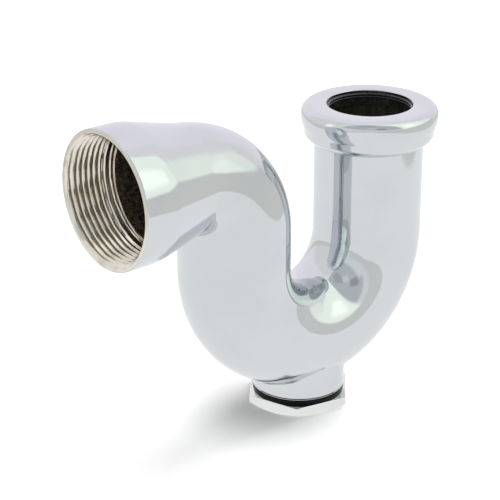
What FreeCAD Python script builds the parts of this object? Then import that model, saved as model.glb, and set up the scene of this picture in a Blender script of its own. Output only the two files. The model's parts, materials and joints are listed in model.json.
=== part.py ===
import FreeCAD, Part
import math
import os

import Sketcher

# Cast P-trap: an inlet collar with a rubber seal, a U-bend, an elbow to a threaded socket,
# and a hexagon plug under the bend. Millimetres, Z up. The pipe's centre line lies in the
# XZ plane and the origin is the middle of the plug's flat foot.

# How near an edge must lie to the place where it is looked for
NEAR = 0.01

# Driving dimensions: name, value and what it measures
SIZES = [
    ("opening_radius", 16.45, "inlet opening in the collar's top face"),
    ("opening_chamfer", 0.4, "broken edge round the inlet opening"),
    ("bore_step", 1.55, "from the opening out to the bore of the pipe"),
    ("pipe_wall", 3.0, "wall of the casting along the pipe"),
    ("leg_half_spacing", 33.5, "from the middle of the bend to each leg's axis"),
    ("boss_offset", 1.3, "from the cleanout's axis along X to the middle of the bend"),
    ("inlet_rise", 50.0, "from the bend's centre up to the inlet collar's top face"),
    ("outlet_rise", 40.5, "from the bend's centre up to the outlet's axis"),
    ("elbow_radius", 24.5, "radius of the elbow's centre line"),
    ("neck_step", 1.1, "from the riser's surface in to the neck at the elbow's end"),
    ("collar_wide_step", 5.25, "from the pipe's surface out to the collar's widest part"),
    ("collar_shoulder", 3.7, "radius of the collar's rounded upper edge"),
    ("collar_band_step", 3.55, "from the pipe's surface out to the band under the bead"),
    ("collar_bead_depth", 10.0, "depth below the top at which the bead meets the band"),
    ("collar_band_length", 3.3, "length of the plain band"),
    ("collar_foot_length", 3.9, "length of the curve from the band in to the leg"),
    ("collar_bead_curve", 12.0, "curve of the bead's flank"),
    ("collar_foot_curve", 7.0, "curve from the band in to the leg"),
    ("seal_seat", 2.4, "width of the ledge that the seal stands on"),
    ("seal_groove_top", 0.9, "depth of the groove's upper side"),
    ("seal_groove_height", 5.1, "height of the groove"),
    ("seal_groove_gap", 0.15, "free play round and above the seal"),
    ("seal_inset", 0.25, "from the opening in to the seal's sleeve"),
    ("seal_lip_height", 0.7, "from the seal's sleeve in to its two lips"),
    ("seal_lip_land", 0.3, "flat inner edge of each lip"),
    ("seal_lip_slope", 0.3, "height of a lip's upper and lower slopes"),
    ("seal_lip_spacing", 1.0, "from one lip's middle to the next"),
    ("seal_lip_top", 0.6, "from the seal's top to the first lip's middle"),
    ("thread_radius", 22.42, "minor radius of the outlet's G 1 1/2 thread"),
    ("thread_length", 20.0, "threaded length of the outlet"),
    ("thread_lead", 1.2, "chamfer at the mouth of the thread"),
    ("core_step", 1.02, "from the thread in to the cast bore behind it"),
    ("socket_wall", 2.98, "wall of the outlet socket outside the thread"),
    ("socket_length", 13.0, "cylindrical length of the socket"),
    ("socket_rim_edge", 0.5, "rounded outer edge of the rim"),
    ("flare_length", 19.5, "from the elbow's end to the socket's cylinder"),
    ("flare_foot_curve", 3.0, "radius where the flare leaves the elbow"),
    ("flare_top_curve", 12.0, "radius where the flare meets the socket"),
    ("boss_ledge", 0.1, "from the washer's edge out to the boss's"),
    ("boss_drop", 2.3, "from the bend's lowest point down to the boss's face"),
    ("boss_edge", 0.5, "chamfer round the boss's lower edge"),
    ("boss_blend", 3.0, "fillet between the boss and the bend"),
    ("plug_thread_radius", 12.6, "mean radius of the plug's G 3/4 thread"),
    ("plug_thread_gap", 0.05, "running clearance of the plug's thread"),
    ("plug_thread_height", 8.6, "from the hexagon to the shank's end"),
    ("plug_thread_lead", 0.8, "chamfer at the thread's start"),
    ("plug_relief_depth", 0.7, "from the thread in to the relief"),
    ("plug_relief_height", 1.6, "height of the relief between the thread and the hexagon"),
    ("plug_wall", 4.1, "wall of the shank round its cast hollow"),
    ("plug_core_depth", 6.0, "depth of the hollow"),
    ("hexagon_across_flats", 37.2, "hexagon head across its flats"),
    ("hexagon_height", 4.6, "height of the hexagon head"),
    ("hexagon_turn", -12.5, "turn of a hexagon corner from the X axis, degrees"),
    ("hexagon_chamfer", 30.0, "turned chamfer under the corners, degrees"),
    ("washer_width", 4.9, "width of the sealing washer's ring"),
    ("washer_thickness", 1.6, "thickness of the sealing washer"),
    ("washer_gap", 0.3, "clearance between the washer and the shank"),
]


class Size:
    """A length or angle with its value and the expression on the sheet that gives it."""

    def __init__(self, value, text):
        self.value = float(value)
        self.text = text

    @staticmethod
    def of(other):
        return other if isinstance(other, Size) else Size(other, repr(float(other)))

    def joined(self, sign, other, value):
        return Size(value, "(" + self.text + " " + sign + " " + other.text + ")")

    def __add__(self, other):
        other = Size.of(other)
        return self.joined("+", other, self.value + other.value)

    def __sub__(self, other):
        other = Size.of(other)
        return self.joined("-", other, self.value - other.value)

    def __mul__(self, other):
        other = Size.of(other)
        return self.joined("*", other, self.value * other.value)

    def __truediv__(self, other):
        other = Size.of(other)
        return self.joined("/", other, self.value / other.value)

    def __neg__(self):
        return Size(-self.value, "(0 - " + self.text + ")")

    def tangent(self):
        return Size(math.tan(math.radians(self.value)), "tan(" + self.text + ")")


ZERO = Size(0, "0")


class Trap:
    """The trap's sizes by name, and the places that several pieces share."""

    def __init__(self, sizes):
        self.sizes = sizes

    def __getitem__(self, name):
        return self.sizes[name]

    @property
    def bore(self):
        """Radius of the waterway along the leg, bend, riser and elbow."""
        return self["opening_radius"] + self["bore_step"]

    @property
    def pipe_radius(self):
        """Outside radius along the leg, bend and riser."""
        return self.bore + self["pipe_wall"]

    @property
    def neck_radius(self):
        """Outside radius at the elbow's end, where the flare begins."""
        return self.pipe_radius - self["neck_step"]

    @property
    def washer_hole(self):
        return self["plug_thread_radius"] + self["washer_gap"]

    @property
    def washer_radius(self):
        return self.washer_hole + self["washer_width"]

    @property
    def boss_radius(self):
        """Outside radius of the cleanout boss under the bend."""
        return self.washer_radius + self["boss_ledge"]

    @property
    def boss_face(self):
        """Height of the boss's lower face, which the washer seals against."""
        return self["hexagon_height"] + self["washer_thickness"]

    @property
    def bend_floor(self):
        """Height of the centre line's lowest point."""
        return self.boss_face + self["boss_drop"] + self.pipe_radius

    @property
    def bend_height(self):
        return self.bend_floor + self["leg_half_spacing"]

    @property
    def inlet_axis(self):
        """Place of the inlet leg's axis along X."""
        return self["boss_offset"] + self["leg_half_spacing"]

    @property
    def riser_axis(self):
        """Place of the riser's axis along X."""
        return self["boss_offset"] - self["leg_half_spacing"]

    @property
    def inlet_height(self):
        return self.bend_height + self["inlet_rise"]

    @property
    def outlet_height(self):
        return self.bend_height + self["outlet_rise"]

    @property
    def outlet_reach(self):
        """From the riser's axis to the outlet's rim."""
        return self["elbow_radius"] + self["flare_length"] + self["socket_length"]

    @property
    def collar_depth(self):
        return self["collar_bead_depth"] + self["collar_band_length"] + self["collar_foot_length"]

    @property
    def groove_radius(self):
        return self.bore + self["seal_seat"]

    @property
    def groove_foot(self):
        return self["seal_groove_top"] + self["seal_groove_height"]


def make_sheet(doc):
    """Writes the driving dimensions to a sheet, one named cell each."""
    sheet = doc.addObject("Spreadsheet::Sheet", "Sizes")
    for row, (name, value, meaning) in enumerate(SIZES, start=1):
        sheet.set("A%d" % row, name)
        sheet.set("B%d" % row, str(value))
        sheet.setAlias("B%d" % row, name)
        sheet.set("C%d" % row, meaning)
    doc.recompute()
    return Trap({name: Size(sheet.get(name), "Sizes." + name) for name, _, _ in SIZES})


def bind(thing, path, size):
    """Ties one property of an object to the sheet."""
    thing.setExpression(path, size.text)


def new_body(doc, label):
    body = doc.addObject("PartDesign::Body", label)
    body.Label = label
    return body


def new_sketch(body, name, plane, along=None, up=None, out=None):
    """Makes a sketch on one of the body's own planes, moved by the given sizes."""
    sketch = body.newObject("Sketcher::SketchObject", name)
    base = next(item for item in body.Origin.OriginFeatures if item.Role == plane)
    sketch.AttachmentSupport = [(base, "")]
    sketch.MapMode = "FlatFace"
    for axis, size in (("x", along), ("y", up), ("z", out)):
        if size is not None:
            bind(sketch, ".AttachmentOffset.Base." + axis, size)
    return sketch


def draw_circle(sketch, radius):
    """Draws a circle about the sketch's own origin."""
    circle = Part.Circle(FreeCAD.Vector(0, 0, 0), FreeCAD.Vector(0, 0, 1), radius.value)
    index = sketch.addGeometry(circle, False)
    sketch.addConstraint(Sketcher.Constraint("Coincident", index, 3, -1, 1))
    number = sketch.addConstraint(Sketcher.Constraint("Radius", index, radius.value))
    bind(sketch, "Constraints[%d]" % number, radius)


def arc_from(start, end, radius):
    """Arc from start to end that bulges to the left of the way, or to the right if negative."""
    chord = end - start
    left = FreeCAD.Vector(-chord.y, chord.x, 0).normalize() * math.copysign(1.0, radius)
    depth = math.sqrt(max(radius ** 2 - (chord.Length / 2) ** 2, 0.0))
    centre = (start + end) * 0.5 - left * depth
    angles = [math.atan2(spot.y - centre.y, spot.x - centre.x) for spot in (start, end)]
    if radius > 0:
        angles.reverse()
    circle = Part.Circle(centre, FreeCAD.Vector(0, 0, 1), abs(radius))
    return Part.ArcOfCircle(circle, angles[0], angles[1])


def draw_path(sketch, corners, arcs=None, closed=True, level=(), half_turns=()):
    """Draws lines and arcs through the corners, each placed from the sketch's origin.

    arcs maps a corner's number to the radius of the arc that leaves it: positive bulges to
    the left of the way, negative to the right. A corner of plain numbers is only a first
    guess, and the pieces that meet there are tangent. level holds, for an arc, which of its
    ends (1 or 2) has the arc's centre straight above or below it. The arcs in half_turns
    run from one corner to the next about the point midway, so their radius follows.
    """
    arcs = arcs or {}
    count = len(corners)
    placed = [isinstance(x, Size) for x, _ in corners]
    points = [FreeCAD.Vector(Size.of(x).value, Size.of(y).value, 0) for x, y in corners]
    segments = []
    for number in range(count if closed else count - 1):
        start, end = points[number], points[(number + 1) % count]
        if number in arcs:
            index = sketch.addGeometry(arc_from(start, end, arcs[number].value), False)
            segments.append((index, 2, 1) if arcs[number].value > 0 else (index, 1, 2))
        else:
            index = sketch.addGeometry(Part.LineSegment(start, end), False)
            segments.append((index, 1, 2))
    for number, (index, _, tail) in enumerate(segments):
        if not closed and number == len(segments) - 1:
            continue
        following, first, _ = segments[(number + 1) % len(segments)]
        kind = "Coincident" if placed[(number + 1) % count] else "Tangent"
        sketch.addConstraint(Sketcher.Constraint(kind, index, tail, following, first))
    for number, corner in enumerate(corners):
        if not placed[number]:
            continue
        last = not closed and number == count - 1
        index, first, tail = segments[number - 1 if last else number]
        for kind, size in zip(("DistanceX", "DistanceY"), corner):
            place = Sketcher.Constraint(kind, -1, 1, index, tail if last else first, size.value)
            bind(sketch, "Constraints[%d]" % sketch.addConstraint(place), size)
    for number in half_turns:
        index, first, _ = segments[number]
        sketch.addConstraint(Sketcher.Constraint("Horizontal", index, 3, index, first))
    for number, size in arcs.items():
        if number in half_turns:
            continue
        index = segments[number][0]
        size = size if size.value > 0 else -size
        radius = Sketcher.Constraint("Radius", index, size.value)
        bind(sketch, "Constraints[%d]" % sketch.addConstraint(radius), size)
    for number, end in level:
        index = segments[number][0]
        foot = segments[number][end]
        sketch.addConstraint(Sketcher.Constraint("Vertical", index, 3, index, foot))


def pad(body, name, sketch, length):
    raised = body.newObject("PartDesign::Pad", name)
    raised.Profile = sketch
    bind(raised, "Length", length)
    return raised


def revolve(body, name, kind, sketch, axis):
    turned = body.newObject(kind, name)
    turned.Profile = sketch
    turned.ReferenceAxis = (sketch, [axis])
    turned.Angle = 360
    return turned


def sweep(body, name, kind, section, line, runs, last_section=None):
    """Sweeps a section along some of a line's runs, numbered from 1, to another section if given."""
    swept = body.newObject(kind, name)
    swept.Profile = section
    swept.Spine = (line, ["Edge%d" % number for number in runs])
    if last_section:
        swept.Sections = [(last_section, [""])]
        swept.Transformation = "Multisection"
    return swept


def centre_line(body, s):
    """The waterway's centre line, from the foot of the collar to the end of the elbow."""
    line = new_sketch(body, "centre_line", "XZ_Plane")
    elbow = s["elbow_radius"]
    corners = [
        (s.inlet_axis, s.inlet_height - s.collar_depth),
        (s.inlet_axis, s.bend_height),
        (s.riser_axis, s.bend_height),
        (s.riser_axis, s.outlet_height - elbow),
        (s.riser_axis - elbow, s.outlet_height),
    ]
    draw_path(line, corners, {1: s["leg_half_spacing"], 3: -elbow}, closed=False, half_turns=(1,))
    return line


def leg_section(body, s, name, radius):
    """A circle across the top of the inlet leg, where the centre line starts."""
    top = s.inlet_height - s.collar_depth
    sketch = new_sketch(body, name, "XY_Plane", along=s.inlet_axis, out=top)
    draw_circle(sketch, radius)
    return sketch


def elbow_sections(body, s):
    """Circles across the riser's top and across the elbow's end."""
    top = s.outlet_height - s["elbow_radius"]
    foot = new_sketch(body, "riser_section", "XY_Plane", along=s.riser_axis, out=top)
    draw_circle(foot, s.pipe_radius)
    end = s.riser_axis - s["elbow_radius"]
    neck = new_sketch(body, "neck_section", "YZ_Plane", up=s.outlet_height, out=end)
    draw_circle(neck, s.neck_radius)
    return foot, neck


def collar_section(body, s):
    """Half section of the inlet collar with its seal groove, from the inlet's axis."""
    sketch = new_sketch(body, "collar_section", "XZ_Plane", s.inlet_axis, s.inlet_height)
    opening, edge = s["opening_radius"], s["opening_chamfer"]
    shoulder = s["collar_shoulder"]
    widest = s.pipe_radius + s["collar_wide_step"]
    band = s.pipe_radius + s["collar_band_step"]
    corners = [
        (opening, -edge),
        (opening + edge, ZERO),
        (widest - shoulder, ZERO),
        (widest, -shoulder),
        (band, -s["collar_bead_depth"]),
        (band, -(s["collar_bead_depth"] + s["collar_band_length"])),
        (s.pipe_radius, -s.collar_depth),
        (s.bore, -s.collar_depth),
        (s.bore, -s.groove_foot),
        (s.groove_radius, -s.groove_foot),
        (s.groove_radius, -s["seal_groove_top"]),
        (opening, -s["seal_groove_top"]),
    ]
    curves = {2: shoulder, 3: s["collar_bead_curve"], 5: s["collar_foot_curve"]}
    draw_path(sketch, corners, curves)
    return sketch


def flare_slope(low, high, run, rise):
    """Angle of the straight flank between two curves of opposite bend, in radians."""
    curves = low + high
    return math.asin(curves / math.hypot(run, curves - rise)) - math.atan2(curves - rise, run)


def socket_section(body, s):
    """Half section of the flare and the outlet socket, from the outlet's axis."""
    sketch = new_sketch(body, "socket_section", "XZ_Plane", s.riser_axis, s.outlet_height)
    foot, rim = -s["elbow_radius"], -s.outlet_reach
    shoulder = rim + s["socket_length"]
    neck, thread, edge = s.neck_radius, s["thread_radius"], s["socket_rim_edge"]
    outside = thread + s["socket_wall"]
    core = thread - s["core_step"]
    low, high = s["flare_foot_curve"], s["flare_top_curve"]
    slope = flare_slope(low.value, high.value, s["flare_length"].value, (outside - neck).value)
    along, drop = math.sin(slope), 1 - math.cos(slope)
    corners = [
        (foot, s.bore),
        (foot, neck),
        (foot.value - low.value * along, neck.value + low.value * drop),
        (shoulder.value + high.value * along, outside.value - high.value * drop),
        (shoulder, outside),
        (rim + edge, outside),
        (rim, outside - edge),
        (rim, thread + s["thread_lead"]),
        (rim + s["thread_lead"], thread),
        (rim + s["thread_length"], thread),
        (rim + s["thread_length"], core),
    ]
    draw_path(sketch, corners, {1: low, 3: -high, 5: -edge}, level=[(1, 1), (3, 2)])
    return sketch


def edges_on_cylinder(shape, radius, low, high):
    """Names of the curved edges that lie at a radius from the Z axis between two heights."""
    names = []
    for number, edge in enumerate(shape.Edges, start=1):
        spots = edge.discretize(5)
        on_wall = all(abs(math.hypot(spot.x, spot.y) - radius) < NEAR for spot in spots)
        in_band = all(low < spot.z < high for spot in spots)
        if on_wall and in_band and not isinstance(edge.Curve, Part.Line):
            names.append("Edge%d" % number)
    return names


def make_trap_body(doc, s):
    """The casting: collar, leg, bend, riser, elbow, socket and cleanout boss in one piece."""
    body = new_body(doc, "trap_body")
    line = centre_line(body, s)
    outside = leg_section(body, s, "pipe_section", s.pipe_radius)
    riser_top, neck = elbow_sections(body, s)
    doc.recompute()
    sweep(body, "pipe", "PartDesign::AdditivePipe", outside, line, (1, 2, 3))
    sweep(body, "elbow", "PartDesign::AdditivePipe", riser_top, line, (4,), neck)
    revolve(body, "collar", "PartDesign::Revolution", collar_section(body, s), "V_Axis")
    revolve(body, "socket", "PartDesign::Revolution", socket_section(body, s), "H_Axis")

    boss_section = new_sketch(body, "boss_section", "XY_Plane", out=s.boss_face)
    draw_circle(boss_section, s.boss_radius)
    boss = pad(body, "boss", boss_section, s.bend_floor - s.boss_face)
    doc.recompute()

    face, top = s.boss_face.value, s.bend_height.value
    corner = edges_on_cylinder(boss.Shape, s.boss_radius.value, face + NEAR, top)
    blend = body.newObject("PartDesign::Fillet", "boss_blend")
    blend.Base = (boss, corner)
    bind(blend, "Radius", s["boss_blend"])
    doc.recompute()

    corner = edges_on_cylinder(blend.Shape, s.boss_radius.value, face - NEAR, face + NEAR)
    edge = body.newObject("PartDesign::Chamfer", "boss_edge")
    edge.Base = (blend, corner)
    bind(edge, "Size", s["boss_edge"])

    inside = leg_section(body, s, "bore_section", s.bore)
    sweep(body, "waterway", "PartDesign::SubtractivePipe", inside, line, (1, 2, 3, 4))
    doc.recompute()

    hole_section = new_sketch(body, "plug_hole_section", "XY_Plane", out=s.boss_face)
    hole_radius = s["plug_thread_radius"] + s["plug_thread_gap"]
    draw_circle(hole_section, hole_radius)
    hole = body.newObject("PartDesign::Pocket", "plug_hole")
    hole.Profile = hole_section
    hole.Reversed = True
    bind(hole, "Length", s.bend_floor - s.boss_face)
    doc.recompute()

    corner = edges_on_cylinder(hole.Shape, hole_radius.value, face - NEAR, face + NEAR)
    mouth = body.newObject("PartDesign::Chamfer", "plug_hole_mouth")
    mouth.Base = (hole, corner)
    bind(mouth, "Size", s["boss_edge"])
    return body


def make_inlet_seal(doc, s):
    """Rubber seal in the collar's groove: a sleeve with two lips that grip the tailpiece."""
    body = new_body(doc, "inlet_seal")
    sketch = new_sketch(body, "seal_section", "XZ_Plane", s.inlet_axis, s.inlet_height)
    top = s["seal_groove_top"] + s["seal_groove_gap"]
    outside = s.groove_radius - s["seal_groove_gap"]
    sleeve = s["opening_radius"] - s["seal_inset"]
    tip = sleeve - s["seal_lip_height"]
    half_land = s["seal_lip_land"] / 2
    half_lip = half_land + s["seal_lip_slope"]
    corners = [(sleeve, -s.groove_foot), (outside, -s.groove_foot), (outside, -top), (sleeve, -top)]
    for lip in range(2):
        middle = top + s["seal_lip_top"] + s["seal_lip_spacing"] * lip
        corners.append((sleeve, half_lip - middle))
        corners.append((tip, half_land - middle))
        corners.append((tip, -(middle + half_land)))
        corners.append((sleeve, -(middle + half_lip)))
    draw_path(sketch, corners)
    revolve(body, "seal", "PartDesign::Revolution", sketch, "V_Axis")
    return body


def make_cleanout_plug(doc, s):
    """Hexagon plug that screws up into the boss; the trap stands on its foot."""
    body = new_body(doc, "cleanout_plug")
    flat_radius = s["hexagon_across_flats"] / 2
    corner_radius = s["hexagon_across_flats"] * (1 / math.sqrt(3))
    head = body.newObject("PartDesign::AdditivePrism", "head")
    head.Polygon = 6
    base = next(item for item in body.Origin.OriginFeatures if item.Role == "XY_Plane")
    head.AttachmentSupport = [(base, "")]
    head.MapMode = "FlatFace"
    bind(head, ".AttachmentOffset.Rotation.Angle", s["hexagon_turn"])
    bind(head, "Circumradius", corner_radius)
    bind(head, "Height", s["hexagon_height"])

    turned = new_sketch(body, "head_chamfer_section", "XZ_Plane")
    outer = corner_radius + s["hexagon_height"]
    rise = (outer - flat_radius) * s["hexagon_chamfer"].tangent()
    draw_path(turned, [(flat_radius, ZERO), (outer, rise), (outer, ZERO)])
    revolve(body, "head_chamfer", "PartDesign::Groove", turned, "V_Axis")

    shank = new_sketch(body, "shank_section", "XZ_Plane")
    low = s["hexagon_height"]
    relief_end = low + s["plug_relief_height"]
    high = low + s["plug_thread_height"]
    hollow = high - s["plug_core_depth"]
    thread, lead = s["plug_thread_radius"], s["plug_thread_lead"]
    relief = thread - s["plug_relief_depth"]
    core = thread - s["plug_wall"]
    corners = [
        (ZERO, low),
        (relief, low),
        (relief, relief_end),
        (thread, relief_end),
        (thread, high - lead),
        (thread - lead, high),
        (core, high),
        (core, hollow),
        (ZERO, hollow),
    ]
    draw_path(shank, corners)
    revolve(body, "shank", "PartDesign::Revolution", shank, "V_Axis")
    return body


def make_cleanout_washer(doc, s):
    """Flat rubber washer between the hexagon and the boss."""
    body = new_body(doc, "cleanout_washer")
    ring = new_sketch(body, "washer_section", "XY_Plane", out=s["hexagon_height"])
    draw_circle(ring, s.washer_radius)
    draw_circle(ring, s.washer_hole)
    pad(body, "washer", ring, s["washer_thickness"])
    return body


def check(doc, bodies):
    """Stops if an object failed, or if a piece isn't one valid closed solid."""
    doc.recompute()
    for item in doc.Objects:
        if "Invalid" in item.State or "Error" in item.State:
            raise RuntimeError("%s failed: %s" % (item.Label, item.State))
    for body in bodies:
        shape = body.Shape
        if shape.isNull() or not shape.isValid() or len(shape.Solids) != 1 or not shape.isClosed():
            raise RuntimeError("%s isn't one valid closed solid" % body.Label)


def main():
    doc = FreeCAD.newDocument("p_trap")
    trap = make_sheet(doc)
    makers = (make_trap_body, make_inlet_seal, make_cleanout_plug, make_cleanout_washer)
    bodies = [make(doc, trap) for make in makers]
    check(doc, bodies)
    os.makedirs("parts", exist_ok=True)
    for body in bodies:
        box = body.Shape.BoundBox
        print("%-16s %9.1f mm3  x %.1f..%.1f  y %.1f..%.1f  z %.1f..%.1f" % (
            body.Label, body.Shape.Volume, box.XMin, box.XMax, box.YMin, box.YMax, box.ZMin, box.ZMax))
        body.Shape.exportStep("parts/%s.step" % body.Label)


main()
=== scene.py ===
"""Chrome-plated P-trap standing on its cleanout plug, on a white studio floor.

The trap is one casting: an inlet collar with a lip seal, a leg, a U-bend with a cleanout
boss, a riser, an elbow and a flared socket with a pipe thread. All lengths are in metres,
in the frame of the solids: Z up, the pipe's centre line in the XZ plane, the origin in the
middle of the plug's flat foot.
"""

import json
import logging
import math
from dataclasses import dataclass
from enum import Enum
from functools import partial
from typing import Callable, Iterable, Mapping, Sequence, Union

import bmesh
import bpy
from mathutils import Matrix, Vector

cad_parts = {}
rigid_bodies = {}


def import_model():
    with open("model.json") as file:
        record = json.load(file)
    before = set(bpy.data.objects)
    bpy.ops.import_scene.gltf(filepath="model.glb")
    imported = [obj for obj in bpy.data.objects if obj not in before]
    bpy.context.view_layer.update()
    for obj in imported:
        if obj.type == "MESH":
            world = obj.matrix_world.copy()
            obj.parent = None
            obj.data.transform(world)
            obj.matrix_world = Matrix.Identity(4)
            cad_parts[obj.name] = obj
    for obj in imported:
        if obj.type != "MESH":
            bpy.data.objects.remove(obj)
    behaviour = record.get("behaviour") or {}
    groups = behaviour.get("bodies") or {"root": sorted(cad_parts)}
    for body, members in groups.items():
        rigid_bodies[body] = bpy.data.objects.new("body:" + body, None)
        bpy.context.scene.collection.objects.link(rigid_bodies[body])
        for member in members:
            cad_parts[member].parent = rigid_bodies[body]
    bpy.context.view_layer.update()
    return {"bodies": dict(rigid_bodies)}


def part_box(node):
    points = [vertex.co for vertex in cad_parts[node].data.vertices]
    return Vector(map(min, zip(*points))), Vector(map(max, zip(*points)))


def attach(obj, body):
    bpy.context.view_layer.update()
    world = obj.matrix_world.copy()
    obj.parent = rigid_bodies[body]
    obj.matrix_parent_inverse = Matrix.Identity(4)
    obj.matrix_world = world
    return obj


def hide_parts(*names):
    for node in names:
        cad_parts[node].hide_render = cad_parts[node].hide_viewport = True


LOG = logging.getLogger("p_trap")
MM = 0.001
X_AXIS, Y_AXIS, Z_AXIS = Vector((1, 0, 0)), Vector((0, 1, 0)), Vector((0, 0, 1))
WHITE = (1.0, 1.0, 1.0)
Triple = tuple[float, float, float]
Span = tuple[float, float]
Ring = list[bmesh.types.BMVert]
Radius = Union[float, Callable[[float], float]]


# Shader building


class Field:
    """A shader value in the making: arithmetic on it adds Math nodes to its tree."""

    def __init__(self, tree: "Shader", socket: bpy.types.NodeSocket) -> None:
        """Wraps one output socket of a tree.

        Args:
            tree: The shader that the socket belongs to.
            socket: The output socket that gives the value.
        """
        self.tree = tree
        self.socket = socket

    def _math(self, operation: str, *values: "Value") -> "Field":
        """Adds one Math node.

        Args:
            operation: The node's operation.
            values: Its inputs in order.

        Returns:
            The node's result.
        """
        inputs = dict(enumerate(values))
        return self.tree.node("ShaderNodeMath", {"operation": operation}, inputs)

    def __add__(self, other: "Value") -> "Field":
        """Sum."""
        return self._math("ADD", self, other)

    __radd__ = __add__

    def __sub__(self, other: "Value") -> "Field":
        """Difference."""
        return self._math("SUBTRACT", self, other)

    def __rsub__(self, other: "Value") -> "Field":
        """Difference from a number on the left."""
        return self._math("SUBTRACT", other, self)

    def __mul__(self, other: "Value") -> "Field":
        """Product."""
        return self._math("MULTIPLY", self, other)

    __rmul__ = __mul__

    def largest(self, other: "Value") -> "Field":
        """The larger of the two."""
        return self._math("MAXIMUM", self, other)

    def size(self) -> "Field":
        """The value without its sign."""
        return self._math("ABSOLUTE", self)

    def ramp(self, low: float, high: float, start: float = 0.0, end: float = 1.0) -> "Field":
        """Turns the value smoothly from one number to another.

        Args:
            low: Where the turn begins.
            high: Where it ends.
            start: Result at and below low.
            end: Result at and above high.

        Returns:
            The smooth step.
        """
        inputs = {"Value": self, "From Min": low, "From Max": high, "To Min": start, "To Max": end}
        return self.tree.node("ShaderNodeMapRange", {"interpolation_type": "SMOOTHSTEP"}, inputs)


Value = Union[Field, float]
Colour = Triple
Tone = Union[Field, Colour]


class Shader:
    """One node tree, of a material or of the world."""

    def __init__(self, tree: bpy.types.NodeTree, output: str) -> None:
        """Empties the tree and gives it an output.

        Args:
            tree: The node tree to fill.
            output: Type of its output node.
        """
        self.tree = tree
        tree.nodes.clear()
        self.output = tree.nodes.new(output)

    @classmethod
    def material(cls, name: str) -> tuple[bpy.types.Material, "Shader", Field]:
        """Makes an empty material.

        Args:
            name: The material's name.

        Returns:
            The material, its shader, and the place in the object's own frame.
        """
        made = bpy.data.materials.new(name)
        made.use_nodes = True
        shader = cls(made.node_tree, "ShaderNodeOutputMaterial")
        return made, shader, shader.node("ShaderNodeTexCoord", output="Object")

    def node(
        self, kind: str, settings: Mapping[str, object] | None = None,
        inputs: Mapping[str | int, object] | None = None, output: str | int = 0,
    ) -> Field:
        """Adds any node: its settings come first, then its sockets.

        Args:
            kind: The node's type.
            settings: Properties of the node.
            inputs: Values or links by socket name or number.
            output: The output socket to hand back.

        Returns:
            The chosen output.
        """
        made = self.tree.nodes.new(kind)
        for name, value in (settings or {}).items():
            setattr(made, name, value)
        for name, value in (inputs or {}).items():
            socket = made.inputs[name]
            if isinstance(value, Field):
                self.tree.links.new(value.socket, socket)
            elif socket.type == "RGBA":
                socket.default_value = (*value, 1.0)
            else:
                socket.default_value = value
        return Field(self, made.outputs[output])

    def mix(self, factor: Value, first: Tone, second: Tone) -> Field:
        """Mixes two colours.

        Args:
            factor: Share of the second colour.
            first: Colour at factor 0.
            second: Colour at factor 1.

        Returns:
            The mixed colour.
        """
        factor_socket, first_socket, second_socket, colour_output = 0, 6, 7, 2
        sockets = {factor_socket: factor, first_socket: first, second_socket: second}
        return self.node("ShaderNodeMix", {"data_type": "RGBA"}, sockets, colour_output)

    def noise(self, place: Field, scale: float, detail: float = 2.0) -> Field:
        """Adds a noise texture."""
        inputs = {"Vector": place, "Scale": scale, "Detail": detail}
        return self.node("ShaderNodeTexNoise", inputs=inputs)

    def bump(self, height: Field, strength: float, distance: float) -> Field:
        """Adds a bump, which gives a normal."""
        inputs = {"Strength": strength, "Distance": distance, "Height": height}
        return self.node("ShaderNodeBump", inputs=inputs)

    def vector(self, operation: str, *values: Tone, output: str | int = 0) -> Field:
        """Adds one Vector Math node."""
        settings = {"operation": operation}
        return self.node("ShaderNodeVectorMath", settings, dict(enumerate(values)), output)

    def ray(self, kind: str) -> Field:
        """Gives 1 for a ray of one kind and 0 for any other."""
        return self.node("ShaderNodeLightPath", output=f"Is {kind} Ray")

    def coat(self, inputs: Mapping[str | int, object]) -> None:
        """Feeds the tree's output from a Principled shader."""
        self.finish(self.node("ShaderNodeBsdfPrincipled", inputs=inputs))

    def finish(self, surface: Field) -> None:
        """Feeds the tree's output."""
        self.tree.links.new(surface.socket, self.output.inputs["Surface"])


# Finishes


@dataclass(frozen=True)
class ChromePlate:
    """Bright chrome on polished cast metal, with the faint waviness of hand polishing."""

    name: str = "chrome_plate"
    colour: Colour = (0.657, 0.688, 0.708)
    haze: Colour = (0.626, 0.657, 0.683)
    gloss: float = 0.03
    worn: float = 0.06
    patch_scale: float = 38.0
    patch_span: Span = (0.42, 0.66)
    patch_share: float = 0.5
    speck_scale: float = 900.0
    speck_span: Span = (0.60, 0.75)
    speck_share: float = 0.3
    wave_scale: float = 100.0
    wave_height: float = 0.08 * MM
    wave_strength: float = 0.35

    def make(self) -> bpy.types.Material:
        """Makes the material.

        Returns:
            The material.
        """
        made, shader, place = Shader.material(self.name)
        patches = shader.noise(place, self.patch_scale, 3.0).ramp(*self.patch_span)
        specks = shader.noise(place, self.speck_scale).ramp(*self.speck_span)
        wear = patches * self.patch_share + specks * self.speck_share
        wave = shader.noise(place, self.wave_scale)
        shader.coat({
            "Base Color": shader.mix(patches, self.colour, self.haze),
            "Metallic": 1.0,
            "Roughness": self.gloss + (self.worn - self.gloss) * wear,
            "Normal": shader.bump(wave, self.wave_strength, self.wave_height),
        })
        return made


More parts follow.
